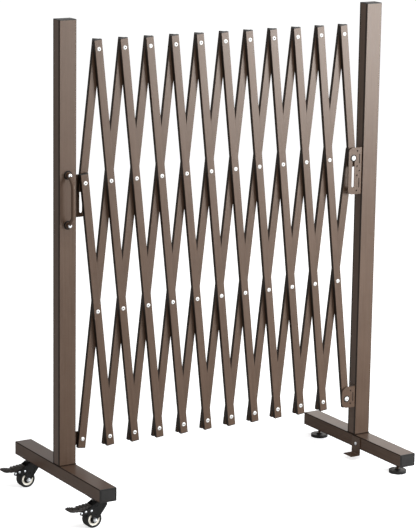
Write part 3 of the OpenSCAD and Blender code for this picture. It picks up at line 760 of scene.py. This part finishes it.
def pan_screw(length, head=6.0, height=3.0):
    """A pan-head screw along z, seated at z = 0: a shank, and an elliptic dome less a cross."""
    around = 64
    shank = [level(circle(r, around), z) for r, z in
             ((1.2, -length), (SCREW_R, -length + 1.5), (SCREW_R, 0.0))]
    radius = np.concatenate([[head, head], head * np.cos(np.linspace(0.25, math.pi / 2, 22))])
    radius[-1] = 0.05
    part = radius / head
    dome = height * np.sqrt(np.clip(1 - 0.92 * part ** 2, 0, 1))
    dome[0] = 0.0
    flat = circle(1.0, around)[None] * radius[:, None, None]
    x, y = np.abs(flat[..., 0]), np.abs(flat[..., 1])
    arm = np.minimum(np.maximum(x - 0.5, y - head * 0.52), np.maximum(y - 0.5, x - head * 0.52))
    sink = 1.5 * (1 - np.clip(arm / 0.35, 0, 1))
    height_map = dome[:, None] - np.where(radius[:, None] < head * 0.75, sink, 0.0)
    return skin(shank + list(np.concatenate([flat, height_map[..., None]], -1)))


def hex_nut(flats, height, bore=0.0):
    """A hexagon nut on z = 0: six sides, drawn in to a circle at both chamfered ends."""
    around = 48
    angle = np.arange(around) * 2 * math.pi / around
    side = flats / 2 / np.cos((angle % (math.pi / 3)) - math.pi / 6)
    ways = np.column_stack([np.cos(angle), np.sin(angle)])
    chamfer, face = 0.09 * flats, 0.51 * flats
    rings = [level(ways * np.minimum(side, most)[:, None], z) for z, most in
             ((0.0, face), (chamfer, flats), (height - chamfer, flats), (height, face))]
    if not bore:
        return skin(rings)
    hole = circle(bore, around)
    return skin(rings + [level(hole, height), level(hole, 0.0)], loop=True)


def dome_nut(flats, height, dome):
    """A hexagon nut with a round cap, on z = 0."""
    cap = quarter((0.0, height - 0.2), dome, 0, 84, 7)
    return [hex_nut(flats, height), lathe([(dome, height - 0.6)] + cap)]


def add_caps():
    """The plug on top of each post and at both ends of each base tube."""
    cap = tube_plug(TUBE_W, TUBE_D, TUBE_R, TUBE_WALL, CAP_T, CAP_PLUG, soft=1.1, crown=0.5,
                    groove=2.4)
    for stand, x in STAND_X.items():
        middle = BASE_Z[stand] + TUBE_D / 2
        shapes = [put(cap, (x, 0, GATE_H - CAP_T)), put(cap, (x, -BASE_HALF, middle), TO_FRONT),
                  put(cap, (x, BASE_HALF, middle), TO_REAR)]
        piece(f"{stand}_stand_caps", shapes, PLASTIC, f"{stand}_stand",
              [f"{stand}_caps"], even=True)


def fillet(points, radius, steps=8):
    """A path of straight runs whose corners are eased: each becomes a quadratic Bezier curve."""
    points = np.asarray(points, float)
    path = [points[0]]
    for before, corner, after in zip(points, points[1:], points[2:]):
        start = corner + radius * (before - corner) / np.linalg.norm(before - corner)
        end = corner + radius * (after - corner) / np.linalg.norm(after - corner)
        t = np.linspace(0, 1, steps + 1)[:, None]
        path += list((1 - t) ** 2 * start + 2 * t * (1 - t) * corner + t * t * end)
    return np.array(path + [points[-1]])


def add_handle():
    """The bent rod between its two bored feet, and the dark washers behind them, whose near black
    is partly painted shade round the feet's base.
    """
    post = -TUBE_D / 2
    foot_y = post - HANDLE_FOOT + GRIP_R
    corners = [(0, foot_y, HANDLE_HALF), (0, GRIP_Y, GRIP_HALF),
               (0, GRIP_Y, -GRIP_HALF), (0, foot_y, -HANDLE_HALF)]
    rod = put(sweep(fillet(corners, 11.0), GRIP_R, (1, 0, 0), 32), (MOBILE_X, 0, HANDLE_Z))
    r, h = HANDLE_FOOT_R, HANDLE_FOOT
    foot = lathe([(10.4, 0.3), (10.4, 1.6), (9.9, 2.1), (r + 0.6, 2.2), (r, 3.4), (r, h - 1.0)]
                 + quarter((r - 1.0, h - 1.0), 1.0, 0, 90) + [(SCREW_R, h)])
    ring = lathe([(10.6, 0.0), (13.5, 0.0), (14.0, 0.5), (14.0, 1.5), (13.5, 2.0), (10.6, 2.0)],
                 loop=True)
    places = [(MOBILE_X, post, HANDLE_Z + s * HANDLE_HALF) for s in (-1, 1)]
    piece("pull_handle_rod", [rod] + [put(foot, at, TO_FRONT) for at in places], BRONZE,
          "mobile_stand", ["pull_handle"])
    # Near-black washers: partly painted shade round the base of the handle's feet.
    piece("pull_handle_washers", [put(ring, at, TO_FRONT) for at in places], GASKET,
          "mobile_stand", ["pull_handle"])


def add_screws():
    """All screws of both stands, the fixed stand's nuts, and the mobile stand's pivot rivet."""
    left, right = (1, -90), (1, 90)
    mobile, fixed, nuts = [], [], []
    side = TUBE_W / 2 + PLATE_T
    bracket_screw = pan_screw(8.5, 5.0, 2.6)
    button = lathe([(1.2, -22.0), (SCREW_R, -20.5), (SCREW_R, 0.0), (6.9, 0.0), (6.9, 0.5)]
                   + bow((6.8, 0.8), (2.3, 3.0), 0.6, 6) + [(1.9, 2.8), (1.8, 1.0)], 40)
    for z in BRACKET_SCREWS:
        mobile.append(put(bracket_screw, (MOBILE_X + side, 0, z), right))
        fixed.append(put(bracket_screw, (FIXED_X - side, 0, z), left))
    for s in (-1, 1):
        seat = (MOBILE_X, -TUBE_D / 2 - HANDLE_FOOT, HANDLE_Z + s * HANDLE_HALF)
        mobile.append(put(button, seat, TO_FRONT))
        for dx, dy in PLATE_SCREWS:
            at = (MOBILE_X + dx, s * CASTER_Y + dy, PLATE_SCREW_Z)
            mobile.append(put(pan_screw(9.0, 4.0, 2.2), at, (0, 180)))
        nuts.append(put(hex_nut(17.0, 7.0, STUD_R + 0.1), (FIXED_X, s * FOOT_Y, NUT_Z)))
    fixed.append(put(pan_screw(9.0), FLOOR_SCREW, left))
    piece("mobile_stand_screws", mobile, ZINC, "mobile_stand", ["mobile_screws"])
    piece("fixed_stand_screws", fixed, ZINC, "fixed_stand", ["fixed_screws"])
    piece("foot_nuts", nuts, BROWN_ZINC, "fixed_stand", ["fixed_screws"])
    pivot = [put(s, (pivot_x(0), 0, row_z(4))) for s in
             (rivet(LAYER, PLATE_OUT), washer(SPACER, OUT, PLATE_IN))]
    piece("mobile_pivot_rivet", pivot, ALUMINIUM, "mobile_stand",
          ["mobile_screws"])


def add_feet():
    """The levelling feet: a soft-edged pad with a neck, and a stud with its thread.

    The thread's radius falls and rises in a straight line over each pitch of height less one turn.
    """
    pad = [(28.6, 0.0)] + quarter((29.0, 1.0), 1.0, -80, 0)
    pad += [(30.0, 8.9)] + quarter((28.6, 8.9), 1.4, 0, 90)
    pad += [(26.4, 10.3), (25.6, 9.6), (12.0, 9.9)] + bow((11.2, 10.0), (8.4, 12.6), 0.5)
    pad += [(7.8, 13.0), (STUD_R, 13.0)]
    low, high, pitch, depth, around = 12.5, 63.0, 1.5, 0.75, 24
    z = np.arange(low, high, pitch / 6)[:, None]
    angle = np.arange(around)[None] * 2 * math.pi / around
    radius = STUD_R - depth * np.abs(2 * ((z / pitch - angle / (2 * math.pi)) % 1.0) - 1)
    thread = np.stack(np.broadcast_arrays(radius * np.cos(angle), radius * np.sin(angle), z), -1)
    for side, s in (("front", -1), ("rear", 1)):
        at, body, node = (FIXED_X, s * FOOT_Y, 0), f"{side}_levelling_foot", [f"{side}_foot"]
        piece(f"{side}_foot_pad", [put(lathe(pad, 64), at)], PLASTIC, body, node)
        piece(f"{side}_foot_stud", [put(skin(thread), at)], BROWN_ZINC, body, node)


def add_sheet_metal():
    """Brackets and floor bracket with their edges eased, and a weld bead round each post's foot,
    coloured nearly black as painted shade where the post meets its base.
    """
    for stand, x in STAND_X.items():
        seat = BASE_Z[stand] + TUBE_D
        bead = [level(outline(TUBE_W + 2 * out, TUBE_D + 2 * out, TUBE_R + out), seat + up)
                for out, up in ((2.4, -0.2), (2.2, 0.9), (1.3, 2.2), (-0.1, 3.0), (-0.1, -0.2))]
        piece(f"{stand}_weld_bead_in_painted_shade", [put(skin(bead, loop=True), (x, 0, 0))], SHADED_SEAM_BRONZE,
              f"{stand}_stand")
    for name, node, body in (("mobile_bracket_plates", "mobile_brackets", "mobile_stand"),
                             ("fixed_bracket_plates", "fixed_brackets", "fixed_stand"),
                             ("floor_bracket_plate", "floor_bracket", "fixed_stand")):
        softened(name, node, 0.5, BRONZE, body)


# Casters, built with the swivel axis on z and the pedal towards -x

TRAIL = 24.0
AXLE_Z = 28.5
WHEEL_HALF = 15.5
FORK_OUT = 19.0
PIN_X = -TRAIL - 31.0
PIN_Z = AXLE_Z + 31.0
PEDAL_REACH = 118.0  # from the swivel axis to the pedal's tip
PEDAL_RISE = 10.0
PLATE_SIDE = 52.0
PLATE_LOW, PLATE_HIGH = 93.0, 96.0
CHEEK_RIVETS = ((0.0, 0.0), (20.0, 0.0), (-15.0, -3.5))  # from the pedal's pin, on x and z


def caster_plate():
    """The square top plate, the raceway under it, and the kingpin's retaining head."""
    plate = [level(outline(PLATE_SIDE - 2 * inset, PLATE_SIDE - 2 * inset, 5.0 - inset, 6), z)
             for z, inset in ((PLATE_LOW, 0.5), (PLATE_LOW + 0.5, 0.0),
                              (PLATE_HIGH - 0.4, 0.0), (PLATE_HIGH, 0.3))]
    race = [(15.0, 84.3), (19.0, 84.3)] + quarter((19.4, 85.9), 1.6, -80, 30)
    race += [(19.6, 90.0), (16.0, 93.2), (14.0, 93.2)]
    pin = [(7.6, 77.2), (8.8, 77.6), (9.0, 78.4), (9.0, 81.0), (6.0, 81.2), (6.0, 85.0)]
    return [skin(plate), lathe(race), lathe(pin, 32)]


def wheel_shapes():
    """Tyre, pale centre and dark hub about y, each turned from its own closed profile; the hub's
    black, sunk below the centre's face, is partly painted shade for that recess.
    """
    w = WHEEL_HALF
    side = quarter((AXLE_Z - 4.8, w - 4.8), 4.8, 0, 84, 7)
    tyre = [(20.0, 0.4 - w)] + [(r, -z) for r, z in side[::-1]] + side + [(20.0, w - 0.4)]
    face = bow((20.0, w - 0.5), (13.4, w - 0.7), -0.9)
    centre = [(r, -z) for r, z in face[::-1]] + face + [(13.0, w - 3.0), (13.0, 3.0 - w)]
    cap = [(13.1, w - 3.4), (9.2, w - 3.0), (8.0, w - 2.4),
           (7.6, w - 0.6), (7.0, w - 0.1), (4.1, w - 0.1)]
    hub = [(r, -z) for r, z in cap[::-1]] + cap
    return [put(lathe(profile, 72, loop=True), (-TRAIL, 0, AXLE_Z), TO_REAR)
            for profile in (tyre, centre, hub)]


def pedal_leaf():
    """The leaf along z up to its tip, and its slant: an outline of two arcs, ribbed on top.

    Each ring is a rounded section about the leaf's waist: height on x, breadth on y. The underside
    is part of a sphere, and clipped cosine waves along the leaf raise the ribs.
    """
    half, half_w = 24.0, 18.0
    top, thick, belly = 5.5, 13.0, 45.0
    slant = math.atan2(PEDAL_RISE, PEDAL_REACH + PIN_X)
    tip = (PEDAL_REACH + PIN_X + top * math.sin(slant)) / math.cos(slant)
    z = np.linspace(tip - 2 * half, tip - 0.2, 130)
    t = (z - tip + half) / half
    radius = (half ** 2 + half_w ** 2) / (2 * half_w)
    chord = np.sqrt(np.clip(radius ** 2 - (half * t) ** 2, 0, None))
    width = np.maximum(chord - radius + half_w, 0.5)
    width = np.where(t < 0, np.maximum(width, 15.0 * -t), width)
    around = 56
    a = np.arange(around) * 2 * math.pi / around
    y = width[:, None] * np.cos(a)
    rise = np.abs(np.sin(a)) ** 0.55
    rib_pitch = 8.4
    wave = np.clip(np.cos((z - tip + 5.0) * 2 * math.pi / rib_pitch) * 2.0 + 0.3, 0, 1)
    wave *= np.abs(t) < 0.86
    edge = np.clip((0.93 - np.abs(np.cos(a))) / 0.1, 0, 1)
    swell = np.clip(1 - np.abs(t) ** 2.2, 0, 1)
    waist = top - 1.6 - 3.4 * swell - 2.2 * np.clip(t, 0, 1) ** 4
    t, z, wave, swell, waist = (v[:, None] for v in (t, z, wave, swell, waist))
    bowl = top - thick + belly - np.sqrt(belly ** 2 - (half * t) ** 2 - y ** 2)
    bowl = np.minimum(bowl, waist - 0.6) * swell + (waist - 1.0) * (1 - swell)
    over = waist + (1.0 + 3.0 * swell) * rise + 2.6 * wave * edge
    under = waist - (waist - bowl) * rise
    x = np.where(np.sin(a)[None] > 0, over, under)
    rings = np.stack(np.broadcast_arrays(x, -y, z), -1)
    return skin(rings), slant


def brake_pedal():
    """The leaf, its stepped arm and the barrel round the cross pin, turned up by the slant."""
    leaf, slant = pedal_leaf()
    up = (1, math.degrees(slant))
    at = (PIN_X, 0, PIN_Z)
    arm = skin([level(outline(7.0, 30.6, 1.6) + (0.75, 0), z) for z in (1.0, 20.0, 34.0, 44.0)])
    shapes = [put(put(part, (0, 0, 0), (1, -90)), at, up) for part in (leaf, arm)]
    for step, top in enumerate((20.0, 17.5, 14.5, 11.5)):
        length, middle = 11.4, 21.0 - (step + 0.5) * 11.0
        block = [(0.0, 0.0), (top - 2.0, 0.0), (top - 0.9, 0.3), (top - 0.2, 1.0), (top, 2.0)]
        rings = [level(outline(length - 2 * inset, 27.0 - 2 * inset, 2.2 - inset / 2), z)
                 for z, inset in block]
        shapes.append(put(put(skin(rings), (middle, 0, 0)), at, up))
    rim = [(6.0, 14.9), (5.4, 15.5), (2.6, 15.5)]
    barrel = lathe([(r, -z) for r, z in rim[::-1]] + rim, 32, loop=True)
    return shapes + [put(barrel, at, TO_REAR, up)]


def caster_pins():
    """Axle bolt with its nuts, the brake's cross pin, and the bright rivets on both cheeks."""
    axle = put(lathe([(4.0, -FORK_OUT), (4.0, FORK_OUT)], 32), (-TRAIL, 0, AXLE_Z), TO_REAR)
    pin = put(lathe([(2.5, -FORK_OUT), (2.5, FORK_OUT)], 24), (PIN_X, 0, PIN_Z), TO_REAR)
    head = lathe([(3.8, 0.0), (3.8, 0.3)] + bow((3.6, 0.5), (0.3, 1.6), 0.45, 6), 32)
    shapes = [axle, pin]
    for way, y in ((TO_FRONT, -FORK_OUT), (TO_REAR, FORK_OUT)):
        nut = dome_nut(13.0, 7.0, 5.6) if y < 0 else [hex_nut(13.0, 7.0)]
        shapes += [put(s, (-TRAIL, y, AXLE_Z), way) for s in nut]
        shapes += [put(head, (PIN_X + dx, y, PIN_Z + dz), way)
                   for dx, dz in CHEEK_RIVETS]
    return shapes


def add_casters():
    """Both casters: plates on the stand, fork and pins on the swivel, wheel and pedal apart."""
    plates = []
    for side, s in (("front", -1), ("rear", 1)):
        at = (MOBILE_X, s * CASTER_Y, 0)
        plates += [put(shape, at) for shape in caster_plate()]
        caster, wheel = f"{side}_caster", f"{side}_wheel"
        softened(f"{side}_fork_shell", f"{side}_caster_fork", 1.0, SATIN_BLACK,
                 caster, segments=3)
        piece(f"{side}_axle_and_rivets", [put(shape, at) for shape in caster_pins()], ZINC,
              caster, [f"{side}_caster_pins"])
        tyre, centre, hub = (put(shape, at) for shape in wheel_shapes())
        node = [f"{side}_caster_wheel"]
        piece(f"{side}_tyre", [tyre], RUBBER, wheel, node)
        piece(f"{side}_wheel_centre", [centre], CREAM, wheel, node)
        # The hub's satin black, sunk below the centre's face, is partly painted shade for that
        # recess.
        piece(f"{side}_wheel_hub", [hub], SATIN_BLACK, wheel, node)
        piece(f"{side}_pedal", [put(shape, at) for shape in brake_pedal()], PEDAL,
              f"{side}_brake", [f"{side}_brake_pedal"])
    piece("caster_top_plates", plates, SATIN_BLACK, "mobile_stand",
          ["caster_plates"])


# Camera and light. The camera's place, angles and lens were fitted to the corners of the stands
# and the rows of rivets.

YAW = math.radians(31.422)
TILT = math.radians(12.725)
ROLL = math.radians(0.860)
LENS_PX = 2306.6
FRAME_PX = 530.0
EYE = (-3.8633, -6.3205, 2.4149)
AMBIENT = 0.5       # the world's strength on the object
FLOOR_GLOW = 0.66   # lifts the lit floor to white for the camera, and leaves the shadow
FLOOR_HALF = 14.0
WHITE = (1.0, 1.0, 1.0)
# Each lamp's place, the point that it faces, its size in metres, its watts and its colour
LAMPS = {
    "key_softbox": ((2.4, -3.0, 1.40), (0.25, 0.0, 0.9), (1.9, 1.5), 225.0, (0.91, 0.96, 1.0)),
    "top_softbox": ((-0.3, -1.6, 3.6), (0.0, 0.0, 0.6), (2.6, 2.0), 50.0, WHITE),
    "rear_softbox": ((3.0, 3.3, 1.25), (0.6, 0.0, 0.1), (1.3, 1.0), 8.5, (1.0, 0.92, 0.85)),
}


def add_camera():
    """Looks along the yaw and down by the tilt, rolled about its own line of sight."""
    ahead = np.array([math.sin(YAW) * math.cos(TILT), math.cos(YAW) * math.cos(TILT),
                      -math.sin(TILT)])
    right = np.array([math.cos(YAW), -math.sin(YAW), 0.0])
    up = np.cross(right, ahead)
    side = math.cos(ROLL) * right + math.sin(ROLL) * up
    top = math.cos(ROLL) * up - math.sin(ROLL) * right
    data = bpy.data.cameras.new("camera")
    data.sensor_fit = "VERTICAL"
    data.sensor_height = 36.0
    data.lens = LENS_PX / FRAME_PX * data.sensor_height
    data.clip_end = 60.0
    camera = bpy.data.objects.new("camera", data)
    turn = Matrix(np.column_stack([side, top, -ahead]).tolist()).to_4x4()
    camera.matrix_world = Matrix.Translation(EYE) @ turn
    bpy.context.scene.collection.objects.link(camera)
    bpy.context.scene.camera = camera


def add_lamp(name, place, aim, size, power, colour):
    """A soft rectangular lamp at place, facing aim, size in metres."""
    data = bpy.data.lights.new(name, "AREA")
    data.shape = "RECTANGLE"
    data.size, data.size_y = size
    data.energy = power
    data.color = colour
    lamp = bpy.data.objects.new(name, data)
    lamp.location = place
    lamp.rotation_euler = (Vector(place) - Vector(aim)).to_track_quat("Z", "Y").to_euler()
    bpy.context.scene.collection.objects.link(lamp)


def pale_floor(w):
    """A pale matt floor that shines a little for the camera alone."""
    return {"Emission Strength": w.put("ShaderNodeLightPath", out="Is Camera Ray") * FLOOR_GLOW}


def add_floor():
    """A square floor that keeps the shadow, and shows white where the light is full."""
    corners = [(x * FLOOR_HALF, y * FLOOR_HALF, 0) for x, y in ((-1, -1), (1, -1), (1, 1), (-1, 1))]
    mesh = bpy.data.meshes.new("floor")
    mesh.from_pydata(corners, [], [(0, 1, 2, 3)])
    mesh.materials.append(finish(
        "pale_floor", pale_floor, (0.80, 0.80, 0.80), Base_Color=(0.80, 0.80, 0.80, 1.0),
        Roughness=0.9, Specular_IOR_Level=0.0, Emission_Color=(*WHITE, 1.0)))
    floor = bpy.data.objects.new("floor", mesh)
    bpy.context.scene.collection.objects.link(floor)


def add_world():
    """White to the camera, to mirrors and through glass, and a plain even light for all else."""
    world = bpy.data.worlds.new("studio")
    bpy.context.scene.world = world
    world.use_nodes = True
    w = Wire(world.node_tree)
    camera, glossy, through = (w.put("ShaderNodeLightPath", out=ray) for ray in (
        "Is Camera Ray", "Is Glossy Ray", "Is Transmission Ray"))
    seen = w.math("MAXIMUM", w.math("MAXIMUM", camera, glossy), through)
    strength = AMBIENT + seen * (1.0 - AMBIENT)
    background = world.node_tree.nodes["Background"]
    background.inputs["Color"].default_value = (*WHITE, 1.0)
    world.node_tree.links.new(strength.socket, background.inputs["Strength"])


add_lattice()
add_caps()
add_handle()
add_screws()
add_feet()
add_sheet_metal()
add_casters()

add_camera()
add_world()
add_floor()
for lamp_name, lamp_settings in LAMPS.items():
    add_lamp(lamp_name, *lamp_settings)

bpy.context.scene.view_settings.view_transform = "Standard"
